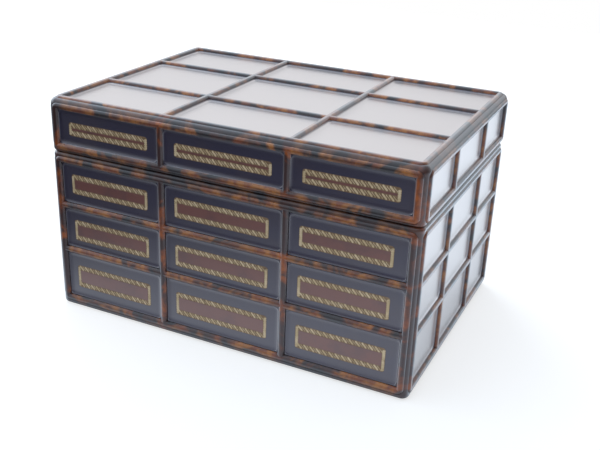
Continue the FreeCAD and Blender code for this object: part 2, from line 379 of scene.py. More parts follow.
@dataclass(frozen=True)
class Finish:
    """A finish; each kind says how its surface is made."""

    name: str

    def surface(self, graph: Graph) -> bpy.types.Node:
        """The shader of the finish, in the graph of its material."""
        raise NotImplementedError

    def material(self) -> bpy.types.Material:
        """Find the finish's material, or make it the first time.

        Returns:
            The material.
        """
        made = bpy.data.materials.get(f"{self.name}_finish")
        if made is None:
            made = bpy.data.materials.new(f"{self.name}_finish")
            made.use_nodes = True
            graph = Graph(made.node_tree)
            surface = self.surface(graph)
            graph.add("ShaderNodeOutputMaterial", values={"Surface": surface.outputs[0]})
        return made

    def dress(self, *nodes: str) -> list[bpy.types.Object]:
        """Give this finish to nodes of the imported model.

        Args:
            nodes: the nodes' names.

        Returns:
            Their pieces.
        """
        pieces = [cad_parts[node] for node in nodes]
        for piece in pieces:
            for slot in piece.material_slots:
                slot.material = self.material()
            if not piece.material_slots:
                piece.data.materials.append(self.material())
        return pieces


@dataclass(frozen=True)
class PolishedLeather(Finish):
    """Thin glazed leather with a fine grain, a little uneven from polish and handling.

    Attributes:
        mottle: the worn places.
        ripple: the slow unevenness of the leather on its board.
        hairlines: scratches that run up the walls and back over the top.
        scratched: the few places that have them.
        scratch_share: height of a scratch as a share of the grain's depth.
    """

    name: str = "polished_leather"
    colour: Colour = tint(34, 29, 60)
    worn_colour: Colour = tint(44, 35, 58)
    mottle: Pattern = Pattern(26 * MM, 4, 0.6, edge=(0.42, 0.72))
    ripple: Pattern = Pattern(11 * MM)
    ripple_depth: float = 0.05 * MM
    grain_size: float = 0.9 * MM
    grain_depth: float = 0.02 * MM
    hairlines: Pattern = Pattern(1.6 * MM, 0, edge=(0.74, 0.8), scale=(1.0, 0.09, 0.09))
    scratched: Pattern = Pattern(30 * MM, edge=(0.52, 0.66))
    scratch_share: float = 0.6
    gloss: Gloss = Gloss()

    def surface(self, graph: Graph) -> bpy.types.Node:
        """Leather under its glaze.

        Args:
            graph: the material's graph.

        Returns:
            The shader.
        """
        mottle = self.mottle.noise(graph)
        colour = graph.blend(self.mottle.patches(mottle), self.colour, self.worn_colour)
        scratches = self.hairlines.spread(graph) * self.scratched.spread(graph)
        grain = graph.cells(self.grain_size) + scratches * self.scratch_share
        ripples = graph.bump(self.ripple.noise(graph), self.ripple_depth)
        normal = graph.bump(grain, self.grain_depth, under=ripples)
        base = graph.shader({
            "Base Color": colour, "Roughness": mottle.between(0.5, 0.65), "Normal": normal,
            "Specular IOR Level": 0.3})
        return self.gloss.over(graph, base, normal)


@dataclass(frozen=True)
class Tortoiseshell(Finish):
    """Faux tortoiseshell lacquer: amber patches on dark brown under a clear gloss.

    Attributes:
        cover: the noise's value halfway through a patch's edge; a lower one gives more amber.
        edge: softness of a patch's edge.
        warmth: where amber is light.
        clouds: where the dark is red.
        shaded_upright_amber: the amber of the front's upright beads, painted redder than the rest as
            painted shade for the sheen they lack.
        shaded_upright_ground: the dark between it, painted redder likewise as painted shade.
        shaded_upright_loss: how much rarer it is than other amber, which darkens the uprights as part
            of that painted shade.
        inner_upright: how far the inner upright beads of the front stand from its middle.
        inner_edge: how far from their middle line their colour starts and ends to fade.
        outer_edge: where the colour of the outer uprights starts and is full.
        behind: the case behind its front beads.
    """

    name: str = "tortoiseshell_lacquer"
    patch: Pattern = Pattern(27 * MM, 3, 0.55, 0.9)
    cover: float = 0.495
    edge: float = 0.085
    amber: Colour = tint(168, 104, 38)
    deep_amber: Colour = tint(122, 58, 22)
    warmth: Pattern = Pattern(8 * MM, 3, 0.6, edge=(0.38, 0.64))
    brown: Colour = tint(34, 24, 28)
    red_brown: Colour = tint(66, 33, 28)
    clouds: Pattern = Pattern(9 * MM, 3, edge=(0.42, 0.62))
    flecks: Pattern = Pattern(2.2 * MM, 2, 0.7, edge=(0.58, 0.7))
    fleck_strength: float = 0.4
    skin: Pattern = Pattern(2.4 * MM, 3, 0.6)
    skin_depth: float = 0.02 * MM
    # painted shade: redder, darker amber and ground for the front's upright beads, standing in for
    # the sheen they lack
    shaded_upright_amber: Colour = tint(168, 86, 20)
    shaded_upright_ground: Colour = tint(56, 24, 20)
    shaded_upright_loss: float = 0.03
    inner_upright: float = 58.9 * MM
    inner_edge: Pair = (3.2 * MM, 4.8 * MM)
    outer_edge: Pair = (161.5 * MM, 163.0 * MM)
    behind: Fade = Fade(BACK, -118 * MM, -115 * MM)
    gloss: Gloss = Gloss(head_on=0.04, glancing=2.0, roughness=0.34, most=0.5,
                         hue=(0.84, 0.92, 1.0, 1.0))

    def surface(self, graph: Graph) -> bpy.types.Node:
        """Patches, their inner mottling and the lacquer over them.

        Args:
            graph: the material's graph.

        Returns:
            The shader.
        """
        # painted shade: the front's uprights take the redder, darker colours and less amber
        upright = self._uprights(graph)
        mask = graph.rise(self.patch.noise(graph) - upright * self.shaded_upright_loss,
                          self.cover - self.edge, self.cover + self.edge)
        amber = graph.blend(self.warmth.spread(graph), self.deep_amber,
                            graph.blend(upright, self.amber, self.shaded_upright_amber))
        amber = graph.blend(self.flecks.spread(graph) * self.fleck_strength, amber, self.red_brown)
        ground = graph.blend(self.clouds.spread(graph), self.brown, self.red_brown)
        ground = graph.blend(upright, ground, self.shaded_upright_ground)
        skin = self.skin.noise(graph)
        normal = graph.bump(skin, self.skin_depth, strength=0.8)
        base = graph.shader({
            "Base Color": graph.blend(mask, ground, amber), "Roughness": skin.between(0.35, 0.55),
            "Normal": normal, "Specular IOR Level": 0.35})
        return self.gloss.over(graph, base, normal)

    def _uprights(self, graph: Graph) -> Signal:
        """Tell the front's upright beads and posts from the rest of the lacquer.

        Args:
            graph: the material's graph.

        Returns:
            1 on them, 0 elsewhere.
        """
        across = abs(graph.along(graph.place(), RIGHT))
        inner = 1.0 - graph.rise(abs(across - self.inner_upright), *self.inner_edge)
        outer = graph.rise(across, *self.outer_edge)
        return inner.larger(outer) * (1.0 - self.behind.over(graph, graph.place()))


@dataclass(frozen=True)
class GoldLeaf(Finish):
    """Pale gold leaf pressed into leather, rubbed away in places.

    Attributes:
        sheen: where it shines.
        rubbed: what shows where it has rubbed through.
        crumple: the leaf's fine creases.
    """

    name: str = "gold_leaf"
    gold: Colour = tint(210, 186, 146)
    bright_gold: Colour = tint(230, 208, 172)
    sheen: Pattern = Pattern(7 * MM, 3, edge=(0.4, 0.62))
    rubbed: Colour = tint(140, 120, 96)
    rubbing: Pattern = Pattern(3.2 * MM, 4, 0.7, edge=(0.58, 0.7))
    rubbing_strength: float = 0.75
    crumple: Pattern = Pattern(0.5 * MM)
    crumple_depth: float = 0.03 * MM

    def surface(self, graph: Graph) -> bpy.types.Node:
        """Leaf, its bright patches and where it has rubbed through.

        Args:
            graph: the material's graph.

        Returns:
            The shader.
        """
        worn = self.rubbing.spread(graph)
        leaf = graph.blend(self.sheen.spread(graph), self.gold, self.bright_gold)
        return graph.shader({
            "Base Color": graph.blend(worn * self.rubbing_strength, leaf, self.rubbed),
            "Metallic": worn.between(0.1, 0.0), "Roughness": worn.between(0.4, 0.65),
            "Normal": graph.bump(self.crumple.noise(graph), self.crumple_depth, strength=0.7)})


class Grain(Enum):
    """The way a board's grain is drawn out: the scale of its pattern along X, Y and Z."""

    ALONG_X = (0.05, 1.0, 1.0)
    ALONG_Y = (1.0, 0.05, 1.0)


@dataclass(frozen=True)
class StainedWood(Finish):
    """Close-grained wood, stained and waxed.

    Attributes:
        light: the stain on early wood.
        dark: the stain on late wood and in the pores.
    """

    grain: Grain
    light: Colour = tint(128, 82, 50)
    dark: Colour = tint(74, 42, 26)
    rings: Pattern = Pattern(7 * MM, 5, 0.62, 0.8, edge=(0.36, 0.64))
    pores: Pattern = Pattern(0.7 * MM, 2, 0.6, edge=(0.6, 0.7))
    pore_strength: float = 0.55
    pore_depth: float = 0.04 * MM
    wax: float = 0.15
    wax_roughness: float = 0.3

    def surface(self, graph: Graph) -> bpy.types.Node:
        """Year rings, pores and wax.

        Args:
            graph: the material's graph.

        Returns:
            The shader.
        """
        rings = replace(self.rings, scale=self.grain.value).noise(graph)
        pores = replace(self.pores, scale=self.grain.value).noise(graph)
        wood = graph.blend(self.rings.patches(rings), self.dark, self.light)
        open_pores = self.pores.patches(pores) * self.pore_strength
        return graph.shader({
            "Base Color": graph.blend(open_pores, wood, self.dark),
            "Roughness": rings.between(0.42, 0.64),
            "Normal": graph.bump(pores, self.pore_depth, strength=0.8),
            "Coat Weight": self.wax, "Coat Roughness": self.wax_roughness})


@dataclass(frozen=True)
class Felt(Finish):
    """Pressed wool felt with a soft nap.

    Attributes:
        shade: the wool between its fibres and where the nap is worn.
        wear: where the nap is worn.
        nap: weight of the soft sheen.
    """

    colour: Colour = tint(112, 34, 42)
    shade: Colour = tint(78, 22, 30)
    fibres: Pattern = Pattern(0.45 * MM, 4, 0.75, 1.2, edge=(0.35, 0.65))
    fibre_depth: float = 0.2 * MM
    wear: Pattern = Pattern(24 * MM, 3, edge=(0.5, 0.75))
    wear_strength: float = 0.35
    nap: float = 0.35
    nap_roughness: float = 0.45

    def surface(self, graph: Graph) -> bpy.types.Node:
        """Fibres and worn nap.

        Args:
            graph: the material's graph.

        Returns:
            The shader.
        """
        fibres = self.fibres.noise(graph)
        wool = graph.blend(self.fibres.patches(fibres), self.shade, self.colour)
        worn = self.wear.spread(graph) * self.wear_strength
        return graph.shader({
            "Base Color": graph.blend(worn, wool, self.shade), "Roughness": 0.95,
            "Sheen Weight": self.nap, "Sheen Roughness": self.nap_roughness,
            "Normal": graph.bump(fibres, self.fibre_depth, strength=0.8)})


@dataclass(frozen=True)
class AgedBrass(Finish):
    """Brass with brown tarnish in its hollows."""

    name: str = "aged_brass"
    metal: Colour = tint(214, 178, 104)
    tarnish: Colour = tint(120, 88, 46)
    tarnished: Pattern = Pattern(4 * MM, 5, 0.65, edge=(0.45, 0.68))
    brushing: Pattern = Pattern(0.5 * MM, scale=(0.08, 1.0, 1.0))
    brushing_depth: float = 0.02 * MM

    def surface(self, graph: Graph) -> bpy.types.Node:
        """Rubbed metal and tarnish.

        Args:
            graph: the material's graph.

        Returns:
            The shader.
        """
        dull = self.tarnished.spread(graph)
        return graph.shader({
            "Base Color": graph.blend(dull, self.metal, self.tarnish),
            "Metallic": dull.between(1.0, 0.75), "Roughness": dull.between(0.26, 0.56),
            "Normal": graph.bump(self.brushing.noise(graph), self.brushing_depth, strength=0.6)})


LEATHER = PolishedLeather()
FIELD_LEATHER = PolishedLeather(
    name="burgundy_leather", colour=tint(118, 66, 57), worn_colour=tint(98, 57, 55),
    gloss=Gloss(head_on=0.075, glancing=2.2, roughness=0.32))
TORTOISESHELL = Tortoiseshell()
# its upright amber is painted shade too, as on the tortoiseshell
DARK_LACQUER = Tortoiseshell(
    name="dark_lacquer", cover=0.53, amber=tint(120, 76, 44), deep_amber=tint(92, 54, 38),
    red_brown=tint(60, 38, 36), shaded_upright_amber=tint(130, 60, 24))
GOLD = GoldLeaf()
RUBBED_GOLD = GoldLeaf(
    name="rubbed_gold", gold=tint(134, 108, 82), bright_gold=tint(148, 122, 94),
    rubbed=tint(100, 78, 66))
BRASS = AgedBrass()
LINING = Felt(name="lining_felt")
BASE_FELT = Felt(name="base_felt", colour=tint(46, 46, 46), shade=tint(24, 24, 24))
CASE_WOOD = {grain: StainedWood(name=f"case_wood_{grain.name.lower()}", grain=grain)
             for grain in Grain}
DRAWER_WOOD = StainedWood(name="drawer_wood", grain=Grain.ALONG_Y,
                          light=tint(176, 132, 88), dark=tint(134, 92, 58))


# ---------------------------------------------------------------- meshes


class Slot(Enum):
    """Material slots of the record that new pieces belong to."""

    DARK_LEATHER = "dark_leather"
    TOOLED_LEATHER = "tooled_leather"
    LINING_FELT = "lining_felt"
    BASE_FELT = "base_felt"


@dataclass
class Form:
    """A mesh while it is being put together.

    Attributes:
        points: the points, in the lots they came in.
        faces: the faces, as places in the list of all points.
    """

    points: list[np.ndarray] = field(default_factory=list)
    faces: list[tuple[int, ...]] = field(default_factory=list)
    count: int = 0
    sharp_degrees: float = 35.0

    def add(self, points: np.ndarray, faces: Iterable[Sequence[int]]) -> None:
        """Add points and the faces between them.

        Args:
            points: the new points.
            faces: the faces, as places in the list of new points.
        """
        self.points.append(points)
        self.faces += [tuple(index + self.count for index in face) for face in faces]
        self.count += len(points)

    def add_rings(self, rings: Sequence[np.ndarray]) -> None:
        """Add a closed skin over rings, capped at both ends.

        Args:
            rings: the rings in order, with as many points each.
        """
        size, last = len(rings[0]), (len(rings) - 1) * len(rings[0])
        faces = [tuple(reversed(range(size))), tuple(range(last, last + size))]
        for ring in range(len(rings) - 1):
            for step in range(size):
                near, far = ring * size + step, ring * size + (step + 1) % size
                faces.append((near, far, far + size, near + size))
        self.add(np.vstack(rings), faces)

    def mesh(self, name: str) -> bpy.types.Mesh:
        """Finish the mesh.

        Args:
            name: its name.

        Returns:
            The mesh, smooth but for its sharp edges, with every face looking out.
        """
        mesh = bpy.data.meshes.new(name)
        mesh.from_pydata(np.vstack(self.points).tolist(), [], self.faces)
        shell = bmesh.new()
        shell.from_mesh(mesh)
        bmesh.ops.recalc_face_normals(shell, faces=shell.faces)
        shell.to_mesh(mesh)
        shell.free()
        mesh.polygons.foreach_set("use_smooth", [True] * len(mesh.polygons))
        mesh.set_sharp_from_angle(angle=math.radians(self.sharp_degrees))
        return mesh


class Shape(Protocol):
    """Anything that adds its own skin to a form."""

    def build(self, form: Form) -> None:
        """Add the shape to a form."""


def add_object(name: str, data: bpy.types.ID) -> bpy.types.Object:
    """Put an object in the scene.

    Args:
        name: its name.
        data: its mesh, lamp or camera.

    Returns:
        The object.
    """
    made = bpy.data.objects.new(name, data)
    bpy.context.scene.collection.objects.link(made)
    return made


def make_piece(name: str, finish: Finish, body: str, slot: Slot,
               shapes: Iterable[Shape]) -> bpy.types.Object:
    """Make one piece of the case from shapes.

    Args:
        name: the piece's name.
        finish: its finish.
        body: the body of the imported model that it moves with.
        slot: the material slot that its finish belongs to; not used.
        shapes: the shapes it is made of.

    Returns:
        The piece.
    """
    form = Form()
    for shape in shapes:
        shape.build(form)
    mesh = form.mesh(name)
    mesh.materials.append(finish.material())
    piece = add_object(name, mesh)
    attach(piece, body)
    return piece


@dataclass(frozen=True)
class Wall:
    """A flat outside of the case; a spot on it is (across, up, depth below its plane)."""

    name: str
    across: Vector
    up: Vector
    out: Vector
    plane: float

    def points(self, spots: np.ndarray) -> np.ndarray:
        """Spots on the wall as points of the case's frame."""
        across, up, out = (np.array(way) for way in (self.across, self.up, self.out))
        return spots[:, :1] * across + spots[:, 1:2] * up + (self.plane - spots[:, 2:3]) * out

    def spot(self, point: Vector) -> Triple:
        """A point of the case's frame as a spot on the wall."""
        return point @ self.across, point @ self.up, self.plane - point @ self.out


@dataclass(frozen=True)
class Site:
    """Where one flat piece lies: its rectangle on a wall and its depths.

    Attributes:
        rim: depth of the piece's free face at its rim.
        back: depth of its back.
        least_radius: the least corner radius, which keeps every ring's points apart.
    """

    wall: Wall
    left: float
    right: float
    low: float
    high: float
    rim: float
    back: float
    least_radius: float = 0.02 * MM

    def ring(self, inset: float, depth: float, radius: float, steps: int = 6) -> np.ndarray:
        """A rectangle with rounded corners, a given way inside the site's outline.

        Args:
            inset: how far inside.
            depth: how far below the wall's plane.
            radius: corner radius.
            steps: steps round each corner.

        Returns:
            Points of the case's frame, as many for every ring of as many steps.
        """
        radius = max(radius, self.least_radius)
        left, right = self.left + inset + radius, self.right - inset - radius
        low, high = self.low + inset + radius, self.high - inset - radius
        spots = []
        for turn, (u, v) in enumerate(((right, high), (left, high), (left, low), (right, low))):
            for step in range(steps + 1):
                angle = math.pi / 2 * (turn + step / steps)
                spots.append((u + radius * math.cos(angle), v + radius * math.sin(angle), depth))
        return self.wall.points(np.array(spots))

    def moved(self, across: float, up: float) -> "Site":
        """This site, moved on its wall."""
        return replace(self, left=self.left + across, right=self.right + across,
                       low=self.low + up, high=self.high + up)

    def within(self, side: float, end: float, rim: float, back: float) -> "Site":
        """A smaller site in the middle of this one."""
        return Site(self.wall, self.left + side, self.right - side, self.low + end,
                    self.high - end, rim, back)


def walls() -> list[Wall]:
    """Find the outside walls of the case, from the box of the whole.

    Returns:
        The walls.
    """
    low, high = cad_box
    x, y, z = (Vector(way) for way in (RIGHT, BACK, UP))
    return [Wall("front", x, z, -y, -low.y), Wall("right", y, z, x, high.x),
            Wall("back", -x, z, y, high.y), Wall("left", -y, z, -x, -low.x),
            Wall("top", x, y, z, high.z)]


def solid_boxes(node: str) -> list[tuple[Vector, Vector]]:
    """Measure the separate solids of a node.

    Args:
        node: the node's name.

    Returns:
        The lowest and highest corner of each solid.
    """
    touching = 1e-6
    shell = bmesh.new()
    shell.from_mesh(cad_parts[node].data)
    bmesh.ops.remove_doubles(shell, verts=shell.verts, dist=touching)
    left, boxes = set(shell.verts), []
    while left:
        edge_of_search, found = [left.pop()], []
        while edge_of_search:
            vertex = edge_of_search.pop()
            found.append(vertex.co.copy())
            near = {edge.other_vert(vertex) for edge in vertex.link_edges} & left
            left -= near
            edge_of_search += near
        boxes.append((Vector(map(min, zip(*found))), Vector(map(max, zip(*found)))))
    shell.free()
    return boxes


def panel_sites(node: str, sides: list[Wall]) -> list[Site]:
    """Find the sites of a node's panels: each is thin along its wall's way out.

    Args:
        node: the node's name.
        sides: the walls of the case.

    Returns:
        The sites, wall by wall, from the top down and from left to right.
    """
    sites = []
    for low, high in solid_boxes(node):
        middle, size = (low + high) / 2, high - low
        thin = min(range(3), key=lambda axis: size[axis])
        wall = max(sides, key=lambda side: side.out[thin] * middle[thin])
        (left, right), (bottom, top), (rim, back) = (
            sorted(pair) for pair in zip(wall.spot(low), wall.spot(high)))
        sites.append(Site(wall, left, right, bottom, top, rim, back))
    return sorted(sites, key=lambda site: (site.wall.name, -site.high, site.left))


@dataclass(frozen=True)
class CovedPanel:
    """Leather over a board: its edges sweep up in a cove to a narrow rim.

    Attributes:
        site: where it lies.
        leather: thickness of the leather.
        tuck: how far the rim is tucked down beside the beads.
        lip: width of the flat rim.
        cove: width of the cove.
        cove_start: the share of a quarter turn that the cove leaves out at its rim.
        cove_steps: steps down the cove.
        corner: radius of the hollow's upright corners.
        land: from the cove in to the ring that keeps the flat level.
        land_corner: corner radius of that ring.
    """

    site: Site
    leather: float = 1.5 * MM
    tuck: float = 0.7 * MM
    lip: float = 0.05 * MM
    cove: float = 4.2 * MM
    cove_start: float = 0.2
    cove_steps: int = 10
    corner: float = 4.3 * MM
    land: float = 0.6 * MM
    land_corner: float = 0.4 * MM

    @property
    def floor(self) -> float:
        """Depth of the panel's flat."""
        return self.site.back - self.leather

    @property
    def rim(self) -> float:
        """Depth of the leather's rim."""
        return self.site.rim + self.tuck

    def build(self, form: Form) -> None:
        """Add the panel to a form.

        Args:
            form: what it is added to.
        """
        site, fall = self.site, self.floor - self.rim
        rings = [site.ring(0, site.back, 0), site.ring(0, self.rim, 0),
                 site.ring(self.lip, self.rim, self.corner)]
        for step in range(self.cove_steps + 1):
            share = self.cove_start + (1 - self.cove_start) * step / self.cove_steps
            inset = self.cove * (1 - math.cos(math.pi / 2 * share))
            depth = self.rim + fall * math.sin(math.pi / 2 * share)
            rings.append(site.ring(inset, depth, self.corner - inset))
        rings.append(site.ring(self.cove + self.land, self.floor, self.land_corner))
        form.add_rings(rings)


@dataclass(frozen=True)
class Sheet:
    """A thin flat piece with softened edges, such as felt or a leather onlay.

    Attributes:
        soft: radius of its softened edge.
        land: from the outline in to the ring that keeps the flat level, in softened edges.
    """

    site: Site
    corner: float = 1.0 * MM
    soft: float = 0.3 * MM
    soft_steps: int = 4
    land: int = 3

    def build(self, form: Form) -> None:
        """Add the sheet to a form.

        Args:
            form: what it is added to.
        """
        site, soft = self.site, self.soft
        rings = [site.ring(0, site.back, self.corner)]
        for step in range(self.soft_steps + 1):
            angle = math.pi / 2 * step / self.soft_steps
            rings.append(site.ring(soft * (1 - math.cos(angle)),
                                   site.rim + soft * (1 - math.sin(angle)), self.corner))
        rings.append(site.ring(soft * self.land, site.rim, self.corner))
        form.add_rings(rings)


@dataclass(frozen=True)
class Strand:
    """One strand of the tooled rope: a slanted leaf, flat below and ridged above.

    Attributes:
        length: across the rope.
        width: along the rope.
        slant: how far along the rope its two ends lie apart.
        rise: height of its ridge.
        fullness: how far towards its ends it keeps its width.
        taper: how gently its ends close.
        sway: how far its middle line bends into an S.
        crown: how gently its ridge comes down at the ends.
        steps: steps from end to end.
    """

    length: float
    width: float
    slant: float
    rise: float
    fullness: int = 3
    taper: float = 0.7
    sway: float = 0.18
    crown: float = 0.4
    steps: int = 8

    def leaf(self) -> tuple[np.ndarray, list[tuple[int, ...]]]:
        """Shape the strand.

        Returns:
            Its points (along, across, height) about its middle, and its faces.
        """
        way = np.linspace(-1, 1, self.steps + 1)
        half = self.width / 2 * (1 - np.abs(way) ** self.fullness) ** self.taper
        middle = -self.slant / 2 * (way + self.sway * np.sin(math.pi * way))
        across = way * self.length / 2
        height = self.rise * (1 - way ** 2) ** self.crown
        inner = slice(1, -1)
        ridge = np.stack([middle, across, height], 1)[inner]
        left = np.stack([middle - half, across, 0 * way], 1)[inner]
        right = np.stack([middle + half, across, 0 * way], 1)[inner]
        tips = np.array([[middle[0], across[0], 0], [middle[-1], across[-1], 0]])
        count = len(ridge)
        first, last = 3 * count, 3 * count + 1
        faces = []
        for i in range(count - 1):
            faces += [(i, i + 1, count + i + 1, count + i),
                      (i + 1, i, 2 * count + i, 2 * count + i + 1)]
        faces += [(first, 0, count), (0, first, 2 * count)]
        faces += [(last, 2 * count - 1, count - 1), (last, count - 1, 3 * count - 1)]
        under_left, under_right = range(count, 2 * count), reversed(range(2 * count, 3 * count))
        faces.append((first, *under_left, last, *under_right))
        return np.vstack([ridge, left, right, tips]), faces


@dataclass(frozen=True)
class RopeBorder:
    """A rope tooled in gold round the field of a front panel.

    Attributes:
        site: the border's outer rectangle, with the leather's depth as its back.
        band: width of the rope along the top and bottom.
        pitch: from one strand to the next there; thick and thin ones take turns.
        slant: how far a strand leans along the rope there.
        thick_reach: length of a thick strand as a share of the band, as the other reaches.
        side_band: width of the rope up the sides.
        corner_gap: from the outline to the first and last strand of a side.
        lead: where a run's first strand lies, as a share of a repeat.
    """

    site: Site
    band: float = 5.2 * MM
    pitch: float = 2.83 * MM
    slant: float = 3.4 * MM
    thick: float = 2.35 * MM
    thick_reach: float = 0.96
    thin: float = 0.85 * MM
    thin_reach: float = 0.84
    side_band: float = 3.0 * MM
    side_pitch: float = 1.698 * MM
    side_slant: float = 0.5 * MM
    side_width: float = 2.1 * MM
    side_reach: float = 0.94
    corner_gap: float = 1.5 * MM
    lead: float = 0.25
    rise: float = 0.14 * MM

    def build(self, form: Form) -> None:
        """Add all four sides of the rope to a form.

        Args:
            form: what they are added to.
        """
        site = self.site
        thick = Strand(self.band * self.thick_reach, self.thick, self.slant, self.rise)
        thin = Strand(self.band * self.thin_reach, self.thin, self.slant, self.rise)
        start, end = site.left + self.side_band, site.right - self.side_band
        for v in (site.high - self.band / 2, site.low + self.band / 2):
            self._run(form, (start, v), (end, v), [(thick, 0.0), (thin, 0.5)], 2 * self.pitch)
        upright = Strand(self.side_band * self.side_reach, self.side_width, self.side_slant,
                         self.rise)
        start, end = site.low + self.corner_gap, site.high - self.corner_gap
        for u in (site.left + self.side_band / 2, site.right - self.side_band / 2):
            self._run(form, (u, start), (u, end), [(upright, 0.0)], self.side_pitch)

    def _run(self, form: Form, start: Pair, end: Pair, strands: Sequence[tuple[Strand, float]],
             repeat_length: float) -> None:
        """Repeat strands along a straight run.

        Args:
            form: what they are added to.
            start: the run's first end on the wall.
            end: its other end.
            strands: each strand, with the share of a repeat that it lies further on.
            repeat_length: about how far it is from one repeat to the next.
        """
        way = np.subtract(end, start)
        length = float(np.hypot(*way))
        way = way / length
        side = np.array([-way[1], way[0]])
        repeats = max(round(length / repeat_length), 1)
        leaves = [(*strand.leaf(), shift) for strand, shift in strands]
        for repeat in range(repeats):
            for points, faces, shift in leaves:
                along = (repeat + self.lead + shift) * length / repeats + points[:, 0]
                flat = np.array(start) + along[:, None] * way + points[:, 1:2] * side
                depth = self.site.back - points[:, 2:3]
                form.add(self.site.wall.points(np.hstack([flat, depth])), faces)


# ---------------------------------------------------------------- sub-assemblies


@dataclass(frozen=True)
class Tooling:
    """A burgundy field and the gold rope round it, near the middle of a front panel.

    Attributes:
        end_margin: from the panel's outline in to the rope, above and below.
        off_centre: how far the rope lies off the panel's middle, across and up.
        onlay: thickness of the burgundy leather.
        leaf: thickness of the worn gold ground under the rope.
        softening: how much of a thickness is softened at the edge.
    """

    end_margin: float
    off_centre: Pair
    side_margin: float = 10.2 * MM
    onlay: float = 0.12 * MM
    onlay_corner: float = 0.4 * MM
    leaf: float = 0.06 * MM
    leaf_corner: float = 2.4 * MM
    softening: float = 0.6

    def build(self, panel: CovedPanel, name: str, body: str) -> list[bpy.types.Object]:
        """Make the tooling of a panel.

        Args:
            panel: the panel it lies on.
            name: the start of the pieces' names.
            body: the body that they ride on.

        Returns:
            The ground, the field and the rope.
        """
        outline = panel.site.within(self.side_margin, self.end_margin, 0, panel.floor - self.leaf)
        rope = RopeBorder(outline.moved(*self.off_centre))
        ground = rope.site.within(0, 0, rope.site.back, panel.floor)
        field_site = rope.site.within(rope.side_band, rope.band, panel.floor - self.onlay,
                                      panel.floor)
        worn = Sheet(ground, self.leaf_corner, self.leaf * self.softening)
        burgundy = Sheet(field_site, self.onlay_corner, self.onlay * self.softening)
        layers = (("leaf", RUBBED_GOLD, worn), ("field", FIELD_LEATHER, burgundy),
                  ("border", GOLD, rope))
        return [make_piece(f"{name}_{layer}", finish, body, Slot.TOOLED_LEATHER, [shape])
                for layer, finish, shape in layers]


LID_TOOLING = Tooling(end_margin=9.25 * MM, off_centre=(-0.4 * MM, -1.2 * MM),
                      side_margin=10.3 * MM)
DRAWER_TOOLING = {1: Tooling(end_margin=9.1 * MM, off_centre=(-1.5 * MM, -0.6 * MM)),
                  2: Tooling(end_margin=8.3 * MM, off_centre=(-1.5 * MM, -1.7 * MM)),
                  3: Tooling(end_margin=10.6 * MM, off_centre=(-1.5 * MM, -1.6 * MM))}
COLUMNS = (1, 2, 3)


@dataclass
class Drawer:
    """One drawer: its tooled face, its wooden box and the felt that lines it.

    Attributes:
        board: thickness of the box's boards.
        felt_gap: from the boards to the felt.
    """

    name: str
    tooling: Tooling
    board: float = 5.0 * MM
    felt: float = 0.8 * MM
    felt_gap: float = 0.3 * MM

    def build(self, sides: list[Wall]) -> list[bpy.types.Object]:
        """Build the drawer's face and lining, and dress its box.

        Args:
            sides: the walls of the case.

        Returns:
            Its pieces.
        """
        face = f"{self.name}_face"
        panel = CovedPanel(panel_sites(face, sides)[0])
        leather = make_piece(f"{self.name}_leather", LEATHER, self.name, Slot.TOOLED_LEATHER, [panel])
        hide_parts(face)
        return [leather, *self.tooling.build(panel, self.name, self.name),
                *DRAWER_WOOD.dress(f"{self.name}_box", f"{self.name}_bottom"), self._line()]

    def _line(self) -> bpy.types.Object:
        """Lay felt on the drawer's bottom, between its four boards.

        Returns:
            The felt.
        """
        low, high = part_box(f"{self.name}_bottom")
        floor = Wall(self.name, Vector(RIGHT), Vector(BACK), Vector(UP), high.z)
        inset = self.board + self.felt_gap
        site = Site(floor, low.x + inset, high.x - inset, low.y + self.felt_gap, high.y - inset,
                    -self.felt, 0)
        return make_piece(f"{self.name}_lining", LINING, self.name, Slot.LINING_FELT, [Sheet(site)])


@dataclass
class Shell:
    """The body or the lid of the case: boards between lacquered rails and beads.

    Attributes:
        body: the body that its pieces ride on.
        edges: its posts and rails.
        beads: its half-round beads.
        cross_boards: boards whose grain runs from left to right.
        hinges: its brass leaves, pins and screws.
        side_boards: boards whose grain runs from front to back.
    """

    body: str
    edges: tuple[str, ...]
    beads: tuple[str, ...]
    cross_boards: tuple[str, ...]
    hinges: tuple[str, ...]
    side_boards: tuple[str, ...] = ()

    def dress(self) -> list[bpy.types.Object]:
        """Give the shell's nodes their finishes."""
        return (DARK_LACQUER.dress(*self.edges) + TORTOISESHELL.dress(*self.beads)
                + CASE_WOOD[Grain.ALONG_X].dress(*self.cross_boards)
                + CASE_WOOD[Grain.ALONG_Y].dress(*self.side_boards) + BRASS.dress(*self.hinges))


@dataclass
class CaseBody(Shell):
    """The fixed body, with its leather walls and the felt on its deck and underside."""

    body: str = "case"
    edges: tuple[str, ...] = ("case_corner_posts", "case_bottom_rails", "case_top_rails")
    beads: tuple[str, ...] = ("front_beads", "case_wall_beads")
    cross_boards: tuple[str, ...] = ("base_board", "case_back_board", "drawer_shelves",
                                     "drawer_stops", "deck_board", "locating_lip")
    hinges: tuple[str, ...] = ("hinge_case_leaves", "hinge_case_screws", "hinge_pins")
    side_boards: tuple[str, ...] = ("case_left_board", "case_right_board", "partitions")

    def build(self, sides: list[Wall]) -> list[bpy.types.Object]:
        """Build the body's leather and felt, and dress the rest."""
        return [*build_panels("case_wall_panels", sides, self.body, "case"), *self.dress(),
                build_felt("deck_lining", self.body, UP, LINING, Slot.LINING_FELT),
                build_felt("base_felt", self.body, DOWN, BASE_FELT, Slot.BASE_FELT)]


